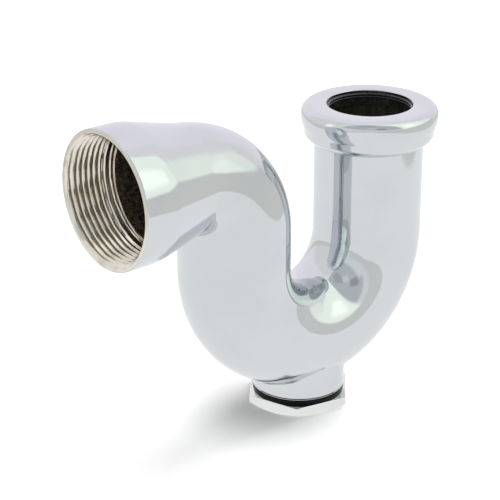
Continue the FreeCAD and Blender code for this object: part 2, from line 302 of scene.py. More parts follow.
@dataclass(frozen=True)
class MachinedThread:
    """Bare turned metal of the outlet's thread, with the tool's fine rings."""

    name: str = "machined_thread"
    light: Colour = (0.77, 0.735, 0.66)
    dull: Colour = (0.60, 0.55, 0.47)
    gloss: float = 0.14
    dulled: float = 0.27
    stretch: Triple = (61.0, 1.0, 1.0)
    ring_scale: float = 90.0
    ring_height: float = 0.03 * MM
    ring_strength: float = 0.25
    stain_scale: float = 160.0
    stain_span: Span = (0.50, 0.80)

    def make(self) -> bpy.types.Material:
        """Makes the material.

        Returns:
            The material.
        """
        made, shader, place = Shader.material(self.name)
        along = shader.node("ShaderNodeMapping", inputs={"Vector": place, "Scale": self.stretch})
        rings = shader.noise(along, self.ring_scale, 3.0)
        dirt = shader.noise(place, self.stain_scale, 4.0).ramp(*self.stain_span)
        shader.coat({
            "Base Color": shader.mix(dirt, self.light, self.dull),
            "Metallic": 1.0,
            "Roughness": self.gloss + (self.dulled - self.gloss) * dirt,
            "Normal": shader.bump(rings, self.ring_strength, self.ring_height),
        })
        return made


@dataclass(frozen=True)
class CastBore:
    """The rough waterway as it left the mould: dark brown metal with bright grains, whose light
    colour is partly the metal's own and partly painted glints.
    """

    name: str = "cast_bore"
    dark: Colour = (0.055, 0.043, 0.034)
    brown: Colour = (0.180, 0.135, 0.098)
    grain_and_glint: Colour = (0.62, 0.53, 0.44)
    grain_and_glint_share: float = 0.8
    rough: float = 0.50
    polish: float = 0.25
    metal: float = 0.7
    lump_scale: float = 700.0
    lump_span: Span = (0.38, 0.66)
    sand_scale: float = 2600.0
    sand_span: Span = (0.62, 0.72)
    sand_share: float = 0.4
    lump_height: float = 0.5 * MM
    lump_strength: float = 0.9

    def make(self) -> bpy.types.Material:
        """Makes the material.

        Returns:
            The material.
        """
        made, shader, place = Shader.material(self.name)
        lumps = shader.noise(place, self.lump_scale, 4.0)
        sand = shader.noise(place, self.sand_scale, 1.0)
        glints = sand.ramp(*self.sand_span)
        colour = shader.mix(lumps.ramp(*self.lump_span), self.dark, self.brown)
        relief = lumps + sand * self.sand_share
        shader.coat({
            # The light specks are partly grains of bare metal and partly painted glints.
            "Base Color": shader.mix(glints * self.grain_and_glint_share, colour, self.grain_and_glint),
            "Metallic": self.metal,
            "Roughness": self.rough - glints * self.polish,
            "Normal": shader.bump(relief, self.lump_strength, self.lump_height),
        })
        return made


@dataclass(frozen=True)
class StainedBore:
    """Smooth waterway of the inlet leg, stained olive brown, with streaks down the wall."""

    name: str = "stained_bore"
    dark: Colour = (0.105, 0.090, 0.062)
    light: Colour = (0.260, 0.235, 0.180)
    gloss: float = 0.30
    dulled: float = 0.50
    metal: float = 0.6
    streak_scale: float = 260.0
    streak_span: Span = (0.40, 0.68)
    stretch: Triple = (1.0, 1.0, 0.06)

    def make(self) -> bpy.types.Material:
        """Makes the material.

        Returns:
            The material.
        """
        made, shader, place = Shader.material(self.name)
        drawn = shader.node("ShaderNodeMapping", inputs={"Vector": place, "Scale": self.stretch})
        film = shader.noise(drawn, self.streak_scale, 3.0).ramp(*self.streak_span)
        shader.coat({
            "Base Color": shader.mix(film, self.dark, self.light),
            "Metallic": self.metal,
            "Roughness": self.dulled - (self.dulled - self.gloss) * film,
        })
        return made


@dataclass(frozen=True)
class BlackRubber:
    """Moulded black rubber, smooth and a little greasy."""

    name: str = "black_rubber"
    colour: Colour = (0.045, 0.046, 0.050)
    dusty: Colour = (0.090, 0.091, 0.096)
    gloss: float = 0.22
    dulled: float = 0.50
    specular: float = 0.50
    dust_scale: float = 420.0
    dust_span: Span = (0.45, 0.75)
    dust_height: float = 0.03 * MM
    dust_strength: float = 0.2

    def make(self) -> bpy.types.Material:
        """Makes the material.

        Returns:
            The material.
        """
        made, shader, place = Shader.material(self.name)
        dust = shader.noise(place, self.dust_scale, 4.0)
        film = dust.ramp(*self.dust_span)
        shader.coat({
            "Base Color": shader.mix(film, self.colour, self.dusty),
            "Roughness": self.gloss + (self.dulled - self.gloss) * film,
            "Specular IOR Level": self.specular,
            "Normal": shader.bump(dust, self.dust_strength, self.dust_height),
        })
        return made


# Mesh building


def arc(start: Vector, end: Vector, radius: float, steps: int) -> list[Vector]:
    """Points of an arc between two points of a plane, the start left out.

    Args:
        start: First end.
        end: Last end.
        radius: Positive if the arc bulges to the left of the way, negative to the right.
        steps: Number of points.

    Returns:
        The points, the end included.
    """
    chord = end - start
    left = Vector((-chord.y, chord.x)).normalized() * math.copysign(1.0, radius)
    depth = math.sqrt(max(radius**2 - (chord.length / 2) ** 2, 0.0))
    centre = (start + end) / 2 - left * depth
    sweep = (start - centre).angle_signed(end - centre)
    first = start - centre
    points = []
    for step in range(1, steps + 1):
        turn = Matrix.Rotation(-sweep * step / steps, 2)
        points.append(centre + turn @ first)
    return points


class Side(Enum):
    """The finishes of a shell's faces, by their material numbers."""

    PLATED = 0
    THREADED = 1
    # The cast finish also darkens the boss's scored line as painted shade.
    CAST_AND_SHADE = 2
    STAINED = 3


class Skin:
    """A closed shell grown ring by ring: each step extrudes the open ring and places it."""

    weld: float = 0.002 * MM
    crease: float = 32.0
    angle_slack: float = 1e-6

    def __init__(self, seat: Matrix, radius: float, segments: int) -> None:
        """Starts the shell with a circle of edges.

        Args:
            seat: The circle's plane, its Z across it and its X to the first corner.
            radius: Radius of the circle.
            segments: Number of its corners.
        """
        self.mesh = bmesh.new()
        made = bmesh.ops.create_circle(self.mesh, segments=segments, radius=radius, matrix=seat)
        back = seat.inverted()

        def angle(corner: bmesh.types.BMVert) -> float:
            """Angle of a corner in the seat's plane, just under a whole turn counted as none."""
            spot = back @ corner.co
            return math.atan2(spot.y, spot.x) % (2 * math.pi - self.angle_slack)

        self.ring: Ring = sorted(made["verts"], key=angle)

    def edges(self) -> list[bmesh.types.BMEdge]:
        """Edges of the open ring."""
        return [self.mesh.edges.get(pair) for pair in zip(self.ring, self.ring[1:] + self.ring[:1])]

    def around(
        self, middle: Vector, radius: Radius, axis: Vector = Z_AXIS, zero: Vector = X_AXIS,
    ) -> list[Vector]:
        """Places of the open ring's corners on an outline across an axis.

        Args:
            middle: Where the outline's plane meets the axis.
            radius: The outline's radius, or a function of the angle about the axis.
            axis: The axis's direction.
            zero: Where the angle is 0.

        Returns:
            One place for each corner.
        """
        side = axis.cross(zero)
        places = []
        for corner in self.ring:
            away = corner.co - middle
            away = (away - axis * away.dot(axis)).normalized()
            angle = math.atan2(away.dot(side), away.dot(zero))
            places.append(middle + away * (radius(angle) if callable(radius) else radius))
        return places

    def grow(self, places: Iterable[Vector], side: Side = Side.PLATED) -> None:
        """Extrudes the open ring once.

        Args:
            places: Where each new corner goes, in the ring's order.
            side: Finish of the new faces.
        """
        made = bmesh.ops.extrude_edge_only(self.mesh, edges=self.edges())["geom"]
        fresh = {item for item in made if isinstance(item, bmesh.types.BMVert)}
        for item in made:
            if isinstance(item, bmesh.types.BMFace):
                item.material_index = side.value
        self.ring = [
            next(
                edge.other_vert(corner) for edge in corner.link_edges
                if edge.other_vert(corner) in fresh
            )
            for corner in self.ring
        ]
        for corner, place in zip(self.ring, places):
            corner.co = place

    def lift(self, height: float, side: Side = Side.PLATED) -> None:
        """Grows the ring to another height."""
        self.grow([Vector((*corner.co.xy, height)) for corner in self.ring], side)

    def outline(self, middle: Vector, radius: Radius, side: Side = Side.PLATED) -> None:
        """Grows the ring to an outline across an upright axis."""
        self.grow(self.around(middle, radius), side)

    def turn(
        self, centre: Vector, angle: float, steps: int, side: Side = Side.PLATED,
        size: Callable[[float], float] | None = None,
    ) -> None:
        """Spins the open ring about an axis along Y, as round a bend.

        Args:
            centre: A point of the axis.
            angle: How far the ring turns, in radians.
            steps: Number of rings that are made.
            side: Finish of the new faces.
            size: Gives a ring's size, as a share of the first, from its part of the turn.
        """
        place = Matrix.Translation(centre)
        spun = place @ Matrix.Rotation(angle, 4, Y_AXIS) @ place.inverted()
        wanted = [spun @ corner.co for corner in self.ring]
        start = sum((corner.co for corner in self.ring), Vector()) / len(self.ring) - centre
        known, old = len(self.mesh.faces), set(self.mesh.verts)
        made = bmesh.ops.spin(
            self.mesh, geom=[*self.ring, *self.edges()], cent=centre, axis=Y_AXIS, angle=angle,
            steps=steps, use_merge=False, use_duplicate=False,
        )
        last = [item for item in made["geom_last"] if isinstance(item, bmesh.types.BMVert)]
        self.mesh.faces.ensure_lookup_table()
        for face in self.mesh.faces[known:]:
            face.material_index = side.value
        self.ring = [
            min(last, key=lambda corner: (corner.co - spot).length_squared) for spot in wanted
        ]
        if size is None:
            return
        for corner in self.mesh.verts:
            if corner in old:
                continue
            away = corner.co - centre
            away -= Y_AXIS * away.dot(Y_AXIS)
            done = away.angle(start) / abs(angle)
            heart = centre + away.normalized() * start.length
            corner.co = heart + (corner.co - heart) * size(done)

    def window(self, inside: Callable[[Vector], bool]) -> Ring:
        """Takes out the faces that lie in a region and gives the ring round the gap.

        Args:
            inside: Says whether a face's middle is in the region.

        Returns:
            The corners round the gap, in order about the Z axis.
        """
        gone = [face for face in self.mesh.faces if inside(face.calc_center_median())]
        rim = {
            edge for face in gone for edge in face.edges
            if sum(near in gone for near in edge.link_faces) == 1
        }
        corners = {corner for edge in rim for corner in edge.verts}
        bmesh.ops.delete(self.mesh, geom=gone, context="FACES")
        return sorted(corners, key=lambda corner: math.atan2(corner.co.y, corner.co.x))

    @classmethod
    def revolved(cls, axis: Vector, section: Sequence[Vector], segments: int) -> "Skin":
        """Turns a closed section about an upright axis.

        Args:
            axis: The axis's point at height 0.
            section: Points (radius, height) of the section, in order.
            segments: Number of corners of each ring.

        Returns:
            The shell.
        """
        first = section[0]
        skin = cls(Matrix.Translation(axis + Z_AXIS * first.y), first.x, segments)
        for radius, height in [*section[1:], first]:
            skin.outline(axis + Z_AXIS * height, radius)
        return skin

    def cap(self, ring: Ring, side: Side = Side.PLATED) -> None:
        """Closes a ring with one flat face."""
        self.mesh.faces.new(ring).material_index = side.value

    def piece(self, name: str, finishes: Sequence[bpy.types.Material]) -> bpy.types.Object:
        """Closes the shell and makes it an object.

        Args:
            name: The piece's name.
            finishes: Its materials by number.

        Returns:
            The object, at the origin.
        """
        bmesh.ops.remove_doubles(self.mesh, verts=self.mesh.verts, dist=self.weld)
        bmesh.ops.recalc_face_normals(self.mesh, faces=self.mesh.faces)
        for face in self.mesh.faces:
            face.smooth = True
        crease = math.radians(self.crease)
        for edge in self.mesh.edges:
            edge.smooth = len(edge.link_faces) != 2 or edge.calc_face_angle() < crease
        open_edges = sum(not edge.is_manifold for edge in self.mesh.edges)
        data = bpy.data.meshes.new(name)
        self.mesh.to_mesh(data)
        self.mesh.free()
        made = bpy.data.objects.new(name, data)
        bpy.context.scene.collection.objects.link(made)
        for finish in finishes:
            data.materials.append(finish)
        data.calc_loop_triangles()
        LOG.info("%s: %d triangles, %d open edges", name, len(data.loop_triangles), open_edges)
        return made


@dataclass(frozen=True)
class PipeThread:
    """A right-handed pipe thread with rounded crests and roots."""

    pitch: float
    minor: float
    major: float
    sharpness: float = 0.965

    def radius(self, along: float, angle: float) -> float:
        """Radius of the thread's surface.

        Args:
            along: Distance along the thread's axis.
            angle: Angle about that axis, right-handed.

        Returns:
            The radius there.
        """
        phase = 2 * math.pi * along / self.pitch - angle
        wave = math.asin(self.sharpness * math.sin(phase)) / math.asin(self.sharpness)
        return (self.major + self.minor) / 2 + (self.major - self.minor) / 2 * wave

    def steps(self, length: float, rings_per_turn: int) -> int:
        """Number of rings that draw a length of the thread."""
        return round(length / self.pitch * rings_per_turn)


# The object's pieces


@dataclass(frozen=True)
class Collar:
    """Profile of the inlet collar: distances below its top face and radii from its axis."""

    opening: float = 16.45 * MM
    broken_edge: float = 0.4 * MM
    wide: float = 26.25 * MM
    shoulder: float = 3.7 * MM
    bead_depth: float = 9.5 * MM
    band: float = 25.0 * MM
    band_depth: float = 11.5 * MM
    depth: float = 14.8 * MM
    bead_curve: float = 12.0 * MM
    foot_curve: float = 7.0 * MM
    groove: float = 20.4 * MM
    groove_top: float = 0.9 * MM
    groove_foot: float = 6.0 * MM
    edge_steps: int = 4
    shoulder_steps: int = 14
    curve_steps: int = 10

    def profile(self, pipe: float, bore: float) -> list[Vector]:
        """Section from the waterway over the top and down to the pipe.

        Args:
            pipe: Outside radius of the pipe.
            bore: Radius of the waterway.

        Returns:
            Points (radius, height above the top face), from inside to outside.
        """
        edge = self.broken_edge
        points = [
            Vector((bore, -self.groove_foot)),
            Vector((self.groove, -self.groove_foot)),
            Vector((self.groove, -self.groove_top)),
            Vector((self.opening, -self.groove_top)),
            Vector((self.opening, -edge)),
        ]
        points += arc(points[-1], Vector((self.opening + edge, 0)), edge, self.edge_steps)
        points.append(Vector((self.wide - self.shoulder, 0)))
        side = Vector((self.wide, -self.shoulder))
        points += arc(points[-1], side, self.shoulder, self.shoulder_steps)
        waist = Vector((self.band, -self.bead_depth))
        points += arc(points[-1], waist, self.bead_curve, self.curve_steps)
        points.append(Vector((self.band, -self.band_depth)))
        points += arc(points[-1], Vector((pipe, -self.depth)), self.foot_curve, self.curve_steps)
        return points


@dataclass(frozen=True)
class Socket:
    """Profile of the flare and the threaded outlet: distances past the riser's axis."""

    foot: float = 20.0 * MM
    shoulder: float = 47.0 * MM
    rim: float = 57.0 * MM
    outside: float = 25.4 * MM
    rim_edge: float = 0.5 * MM
    foot_curve: float = 20.0 * MM
    top_curve: float = 20.0 * MM
    lead: float = 1.2 * MM
    thread_length: float = 20.0 * MM
    run_out: float = 6.0 * MM
    core: float = 21.4 * MM
    thread: PipeThread = PipeThread(2.309 * MM, 22.42 * MM, 23.9 * MM)
    rings_per_turn: int = 16
    curve_steps: int = 12
    edge_steps: int = 5
    first_ring: float = 0.4 * MM

    def outer(self, pipe: float) -> list[Vector]:
        """Section from the flare's foot, which lies on the elbow, to the rim's face.

        Args:
            pipe: Outside radius of the pipe.

        Returns:
            Points (distance past the riser's axis, measured round the elbow, and radius).
        """
        run, rise = self.shoulder - self.foot, self.outside - pipe
        curves = self.foot_curve + self.top_curve
        slope = math.asin(curves / math.hypot(run, curves - rise)) - math.atan2(curves - rise, run)
        across, drop = math.sin(slope), 1 - math.cos(slope)
        low = Vector((self.foot, pipe)) + Vector((across, drop)) * self.foot_curve
        high = Vector((self.shoulder, self.outside)) - Vector((across, drop)) * self.top_curve
        points = [Vector((self.foot, pipe))]
        points += arc(points[0], low, -self.foot_curve, self.curve_steps)
        points.append(high)
        top = Vector((self.shoulder, self.outside))
        points += arc(high, top, self.top_curve, self.curve_steps)
        points.append(Vector((self.rim - self.rim_edge, self.outside)))
        edge = Vector((self.rim, self.outside - self.rim_edge))
        points += arc(points[-1], edge, self.rim_edge, self.edge_steps)
        return points

    def thread_stops(self) -> list[float]:
        """Distances from the riser's axis of the rings that draw the thread, rim first."""
        count = self.thread.steps(self.thread_length, self.rings_per_turn)
        return [self.rim - self.thread_length * step / count for step in range(count + 1)]

    def thread_radius(self, reach: float, angle: float) -> float:
        """Radius of the threaded wall, with the chamfer at its mouth and its run-out.

        Args:
            reach: Distance from the riser's axis.
            angle: Angle about the outlet's axis.

        Returns:
            The wall's radius there.
        """
        depth = self.rim - reach
        mouth = self.thread.minor + max(self.lead - depth, 0.0)
        full = min((self.thread_length - depth) / self.run_out, 1.0)
        cut = self.thread.minor + (self.thread.major - self.thread.minor) * full
        return max(min(self.thread.radius(reach, angle), cut), mouth)


@dataclass(frozen=True)
class Boss:
    """The cleanout boss under the bend, with its blend, a scored line and its threaded hole.

    The patch is the region of the bend's tube that the boss takes: degrees along the tube
    and round it, and how far a face's middle may lie from the tube's wall.
    """

    radius: float = 17.9 * MM
    face: float = 6.2 * MM
    edge: float = 0.5 * MM
    score: float = 0.40 * MM
    score_height: float = 0.65 * MM
    lip_step: float = 0.05 * MM
    blend: float = 3.0 * MM
    hole: float = 12.65 * MM
    thread: PipeThread = PipeThread(1.814 * MM, 12.16 * MM, 13.26 * MM)
    patch_along: float = 28.0
    patch_across: float = 70.0
    patch_depth: float = 0.5 * MM
    steps: int = 8
    hole_rings: int = 48
    fade_rings: int = 4

    def section(self) -> list[tuple[float, float, Side]]:
        """Rings from the blend over the scored line and the lip to the hole's mouth.

        Returns:
            Radius, height and finish of each ring.
        """
        score, lip = self.face + self.score_height, self.radius - self.lip_step
        return [
            (self.radius, score + self.score, Side.PLATED),
            # The scored line's inner faces take the dark cast finish: painted shade in the groove.
            (self.radius - self.score, score + self.score / 2, Side.CAST_AND_SHADE),
            (lip - self.score / 2, score, Side.CAST_AND_SHADE),
            (lip, score - self.score / 4, Side.PLATED),
            (lip, self.face + self.score, Side.PLATED),
            (lip - self.score, self.face, Side.PLATED),
            (self.hole + self.edge, self.face, Side.PLATED),
            (self.hole, self.face + self.edge, Side.PLATED),
        ]


@dataclass
class Casting:
    """The trap's one-piece body, whose bend stands a little off the plug's axis."""

    node: str = "trap_body"
    body: str = "trap"
    pipe: float = 21.0 * MM
    bore: float = 18.0 * MM
    spacing: float = 33.5 * MM
    middle: float = 1.3 * MM
    bend_height: float = 63.0 * MM
    inlet_height: float = 113.0 * MM
    outlet_height: float = 103.5 * MM
    elbow: float = 24.5 * MM
    neck: float = 20.0 * MM
    narrowing: float = 0.85
    segments: int = 128
    bend_steps: int = 96
    elbow_steps: int = 48
    collar: Collar = Collar()
    socket: Socket = Socket()
    boss: Boss = Boss()

    @property
    def inlet(self) -> float:
        """Place of the inlet's axis along X."""
        return self.middle + self.spacing

    @property
    def riser(self) -> float:
        """Place of the riser's axis along X."""
        return self.middle - self.spacing

    @property
    def bend_centre(self) -> Vector:
        """Middle of the bend's circle."""
        return Vector((self.middle, 0, self.bend_height))

    @property
    def elbow_centre(self) -> Vector:
        """Middle of the elbow's circle."""
        return Vector((self.riser - self.elbow, 0, self.outlet_height - self.elbow))

    def _elbow_size(self, done: float) -> float:
        """Outside radius of the elbow, which narrows to the neck and then starts the flare.

        Args:
            done: Part of the elbow's turn, from 0 at the riser to 1.

        Returns:
            The radius as a share of the pipe's.
        """
        narrowed = min(done / self.narrowing, 1.0)
        radius = self.pipe + (self.neck - self.pipe) * narrowed**2 * (3.0 - 2.0 * narrowed)
        reach = self.elbow * (1.0 - (1.0 - done) * math.pi / 2)
        section = self.socket.outer(self.neck)
        for (near, low), (far, high) in zip(section, section[1:]):
            if near <= reach <= far:
                radius = low + (high - low) * (reach - near) / (far - near)
        return radius / self.pipe

    def _bend_floor(self, x: float, y: float, radius: float) -> float:
        """Height of the underside of the bend's tube over a point of the floor.

        Args:
            x: Place along the pipe.
            y: Place across it.
            radius: Radius of the tube.

        Returns:
            The height of the tube's surface.
        """
        across = math.sqrt(max(radius**2 - y**2, 0.0))
        return self.bend_height - math.sqrt((self.spacing + across) ** 2 - (x - self.middle) ** 2)

    def _in_patch(self, radius: float, middle: Vector) -> bool:
        """Whether a face of the bend's tube lies round the boss.

        Args:
            radius: Radius of the tube.
            middle: Middle of the face.

        Returns:
            True if the face has to go.
        """
        drop = self.bend_height - middle.z
        aside = abs(middle.x - self.middle)
        reach = math.hypot(aside, drop)
        along = math.degrees(math.atan2(aside, drop))
        outward = math.degrees(math.atan2(abs(middle.y), reach - self.spacing))
        tube = math.hypot(reach - self.spacing, middle.y)
        near = abs(tube - radius) < self.boss.patch_depth
        return near and along < self.boss.patch_along and outward < self.boss.patch_across

    def _blend_curve(self, angle: float) -> list[Vector]:
        """Fillet between the bend and the boss at one angle, as a ball rolled along it.

        Args:
            angle: Angle about the boss's axis.

        Returns:
            Points from the bend's surface to the boss's wall.
        """
        boss = self.boss
        outward = Vector((math.cos(angle), math.sin(angle), 0))
        ball = outward * (boss.radius + boss.blend)
        ball.z = self._bend_floor(ball.x, ball.y, self.pipe + boss.blend)
        away = ball - self.bend_centre
        away.y = 0
        tube = self.bend_centre + away.normalized() * self.spacing
        first = (tube - ball).normalized()
        shares = [step / boss.steps for step in range(boss.steps + 1)]
        return [ball + first.slerp(-outward, share) * boss.blend for share in shares]

    def _on_tube(
        self, starts: Iterable[Vector], ends: Iterable[Vector], share: float, radius: float,
    ) -> list[Vector]:
        """Places part of the way between two rows, laid on the underside of the bend's tube.

        Args:
            starts: The first row.
            ends: The second row.
            share: Part of the way, from 0 to 1.
            radius: Radius of the tube.

        Returns:
            One place for each pair.
        """
        places = [start.lerp(end, share) for start, end in zip(starts, ends)]
        for place in places:
            place.z = self._bend_floor(place.x, place.y, radius)
        return places

    def _down_the_pipe(self) -> Skin:
        """Grows the outside from the collar's foot round the bend and the elbow.

        Returns:
            The casting's shell, open at the elbow's end.
        """
        foot = Matrix.Translation((self.inlet, 0, self.inlet_height - self.collar.depth))
        skin = Skin(foot, self.pipe, self.segments)
        skin.lift(self.bend_height)
        skin.turn(self.bend_centre, math.pi, self.bend_steps)
        skin.lift(self.elbow_centre.z)
        skin.turn(self.elbow_centre, -math.pi / 2, self.elbow_steps, size=self._elbow_size)
        return skin

    def _round_the_socket(self, skin: Skin) -> None:
        """Grows the flare, the rim and the thread, down to the waterway in the elbow.

        Args:
            skin: The casting's shell.
        """
        socket = self.socket
        stops: list[tuple[float, Radius, Side]] = [
            (reach, radius, Side.PLATED) for reach, radius in socket.outer(self.neck)
            if reach > self.elbow + socket.first_ring
        ]
        for reach in socket.thread_stops():
            stops.append((reach, partial(socket.thread_radius, reach), Side.THREADED))
        stops.append((socket.rim - socket.thread_length, socket.core, Side.THREADED))
        stops.append((self.elbow, self.bore, Side.CAST_AND_SHADE))
        for reach, radius, side in stops:
            middle = Vector((self.riser - reach, 0, self.outlet_height))
            skin.grow(skin.around(middle, radius, X_AXIS, Z_AXIS), side)

    def _back_up_the_bore(self, skin: Skin) -> None:
        """Grows the waterway from the elbow back to the foot of the seal's groove.

        Args:
            skin: The casting's shell.
        """
        skin.turn(self.elbow_centre, math.pi / 2, self.elbow_steps // 2, Side.CAST_AND_SHADE)
        skin.lift(self.bend_height, Side.CAST_AND_SHADE)
        skin.turn(self.bend_centre, -math.pi, self.bend_steps, Side.CAST_AND_SHADE)
        skin.lift(self.inlet_height - self.collar.groove_foot, Side.STAINED)

    def _add_boss(self, skin: Skin) -> None:
        """Opens the bend's outside and grows the boss from it, to the mouth of its hole.

        Args:
            skin: The casting's shell.
        """
        skin.ring = skin.window(partial(self._in_patch, self.pipe))
        starts = [corner.co.copy() for corner in skin.ring]
        fillet = [self._blend_curve(math.atan2(spot.y, spot.x)) for spot in starts]
        brink = [curve[0] for curve in fillet]
        steps = self.boss.steps
        for step in range(1, steps):
            skin.grow(self._on_tube(starts, brink, step / steps, self.pipe))
        for places in zip(*fillet):
            skin.grow(places)
        for radius, height, side in self.boss.section():
            skin.outline(Z_AXIS * height, radius, side)

    def _add_plug_hole(self, skin: Skin) -> None:
        """Joins the plug's threaded hole from its mouth to the waterway.

        Args:
            skin: The casting's shell.
        """
        boss = self.boss
        ends = [corner.co.copy() for corner in skin.window(partial(self._in_patch, self.bore))]
        tops = skin.around(Vector(), boss.hole)
        for top in tops:
            top.z = self._bend_floor(top.x, top.y, self.bore)
        foot = boss.face + boss.edge
        for step in range(1, boss.hole_rings + 1):
            share = step / boss.hole_rings
            fade = min(1.0, (boss.hole_rings - step) / boss.fade_rings)
            places = []
            for top in tops:
                angle = math.atan2(top.y, top.x)
                height = foot + (top.z - foot) * share
                radius = boss.hole + (boss.thread.radius(height, angle) - boss.hole) * fade
                spot = Vector((radius * math.cos(angle), radius * math.sin(angle), height))
                places.append(spot)
            skin.grow(places, Side.THREADED)
        for step in range(1, boss.steps + 1):
            skin.grow(self._on_tube(tops, ends, step / boss.steps, self.bore), Side.CAST_AND_SHADE)

    def build(self, finishes: Sequence[bpy.types.Material]) -> None:
        """Grows the casting as one closed shell and seats it on its body.

        Args:
            finishes: Materials for the plated, threaded, cast and stained faces.
        """
        skin = self._down_the_pipe()
        self._round_the_socket(skin)
        self._back_up_the_bore(skin)
        top = Vector((self.inlet, 0, self.inlet_height))
        for radius, height in self.collar.profile(self.pipe, self.bore):
            skin.outline(top + Z_AXIS * height, radius)
        self._add_boss(skin)
        self._add_plug_hole(skin)
        piece = skin.piece("cast_trap", finishes)
        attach(piece, self.body)
        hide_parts(self.node)


@dataclass
class LipSeal:
    """Rubber seal in the collar: a sleeve with two soft lips round the tailpiece."""

    node: str = "inlet_seal"
    body: str = "trap"
    sleeve: float = 16.2 * MM
    lip: float = 15.5 * MM
    lip_half: float = 0.42 * MM
    lip_depths: Span = (0.6 * MM, 1.6 * MM)
    lip_steps: int = 10
    lip_power: float = 0.8
    rounding: float = 0.2 * MM
    segments: int = 128

    def build(self, finish: bpy.types.Material) -> None:
        """Spins the seal's section and seats it in its groove.

        Args:
            finish: The rubber.
        """
        low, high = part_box(self.node)
        axis = Vector(((low.x + high.x) / 2, 0, 0))
        outside, edge = (high.x - low.x) / 2, self.rounding
        section = [Vector(point) for point in (
            (self.sleeve, low.z), (outside - edge, low.z), (outside, low.z + edge),
            (outside, high.z - edge), (outside - edge, high.z), (self.sleeve, high.z),
        )]
        for depth in self.lip_depths:
            for step in range(self.lip_steps + 1):
                swing = math.pi * step / self.lip_steps
                inward = (self.sleeve - self.lip) * math.sin(swing) ** self.lip_power
                height = high.z - depth + self.lip_half * math.cos(swing)
                section.append(Vector((self.sleeve - inward, height)))
        piece = Skin.revolved(axis, section, self.segments).piece("lip_seal", [finish])
        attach(piece, self.body)
        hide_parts(self.node)


@dataclass
class Plug:
    """Hexagon cleanout plug with its screw thread; the trap stands on its foot."""

    node: str = "cleanout_plug"
    body: str = "plug"
    across_flats: float = 37.2 * MM
    height: float = 4.6 * MM
    turn: float = -12.5
    chamfer: float = 30.0
    corner: float = 0.6 * MM
    edge: float = 0.3 * MM
    relief: float = 11.9 * MM
    relief_height: float = 1.6 * MM
    shank_height: float = 8.6 * MM
    lead: float = 0.8 * MM
    core: float = 8.5 * MM
    core_depth: float = 6.0 * MM
    thread: PipeThread = PipeThread(1.814 * MM, 12.05 * MM, 13.15 * MM)
    run_out_slope: float = 2.0
    run_out_step: float = 0.1 * MM
    segments: int = 144
    bevel_steps: int = 3
    rings_per_turn: int = 12

    def _hexagon(self, inset: float, angle: float) -> float:
        """Radius of the head's outline, its corners slightly blunted.

        Args:
            inset: How far the outline is drawn in.
            angle: Angle about the plug's axis.

        Returns:
            The radius at that angle.
        """
        flat = self.across_flats / 2 - inset
        side = (angle - math.radians(self.turn)) % (math.pi / 3) - math.pi / 6
        sharp = flat / math.cos(side)
        limit = flat / math.cos(math.pi / 6) - self.corner * (1 / math.cos(math.pi / 6) - 1)
        return min(sharp, limit)

    def _shank_radius(self, height: float, angle: float) -> float:
        """Radius of the threaded shank, with its run-out below and its lead at the top.

        Args:
            height: Height above the plug's foot.
            angle: Angle about the plug's axis.

        Returns:
            The radius there.
        """
        above = height - self.height - self.relief_height
        below = self.height + self.shank_height - height
        run_out = self.relief + self.run_out_step + above * self.run_out_slope
        lead = self.thread.major - max(self.lead - below, 0.0)
        return min(self.thread.radius(height, angle), run_out, lead)

    def build(self, finish: bpy.types.Material, bare: bpy.types.Material) -> None:
        """Grows the plug from its foot to the hollow in its shank.

        Args:
            finish: The plated metal, a brighter copy of the chrome: painted light on the hexagon.
            bare: The bare metal of the thread.
        """
        flat = self.across_flats / 2
        seat = Matrix.Rotation(math.radians(self.turn), 4, "Z")
        skin = Skin(seat, flat - self.edge, self.segments)
        foot = skin.ring
        slope = math.tan(math.radians(self.chamfer))
        places = skin.around(Vector(), partial(self._hexagon, 0.0))
        for place in places:
            place.z = max((place.xy.length - flat) * slope, 0.0) + self.edge / 2
        skin.grow(places)
        for step in range(self.bevel_steps + 1):
            swing = math.pi / 2 * step / self.bevel_steps
            drawn = self.edge * (1 - math.cos(swing))
            top = Z_AXIS * (self.height - self.edge * (1 - math.sin(swing)))
            skin.outline(top, partial(self._hexagon, drawn))
        skin.outline(Z_AXIS * self.height, self.relief)
        start = self.height + self.relief_height
        end = self.height + self.shank_height
        count = self.thread.steps(end - start, self.rings_per_turn)
        stops: list[tuple[float, Radius]] = [(start, self.relief)]
        for step in range(count + 1):
            height = start + (end - start) * step / count
            stops.append((height, partial(self._shank_radius, height)))
        stops += [(end, self.core), (end - self.core_depth, self.core)]
        for height, radius in stops:
            skin.outline(Z_AXIS * height, radius, Side.THREADED)
        skin.cap(skin.ring, Side.THREADED)
        skin.cap(foot)
        piece = skin.piece("hexagon_plug", [finish, bare])
        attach(piece, self.body)
        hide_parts(self.node)


@dataclass
class Washer:
    """Flat rubber washer squeezed between the hexagon and the boss."""

    node: str = "cleanout_washer"
    body: str = "washer"
    hole: float = 12.9 * MM
    rounding: float = 0.25 * MM
    edge_steps: int = 3
    segments: int = 96

    def build(self, finish: bpy.types.Material) -> None:
        """Grows the ring's section, with soft edges.

        Args:
            finish: The rubber, black and darkened further as painted shade under the boss.
        """
        low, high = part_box(self.node)
        outside, edge = (high.x - low.x) / 2, self.rounding
        section = [Vector((self.hole, low.z)), Vector((outside - edge, low.z))]
        section += arc(section[-1], Vector((outside, low.z + edge)), -edge, self.edge_steps)
        section.append(Vector((outside, high.z - edge)))
        section += arc(section[-1], Vector((outside - edge, high.z)), -edge, self.edge_steps)
        section.append(Vector((self.hole, high.z)))
        skin = Skin.revolved(Vector(), section, self.segments)
        piece = skin.piece("sealing_washer", [finish])
        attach(piece, self.body)
        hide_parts(self.node)


# The studio


def sine(degrees: float) -> float:
    """Sine of an angle in degrees."""
    return math.sin(math.radians(degrees))


def cosine(degrees: float) -> float:
    """Cosine of an angle in degrees."""
    return math.cos(math.radians(degrees))


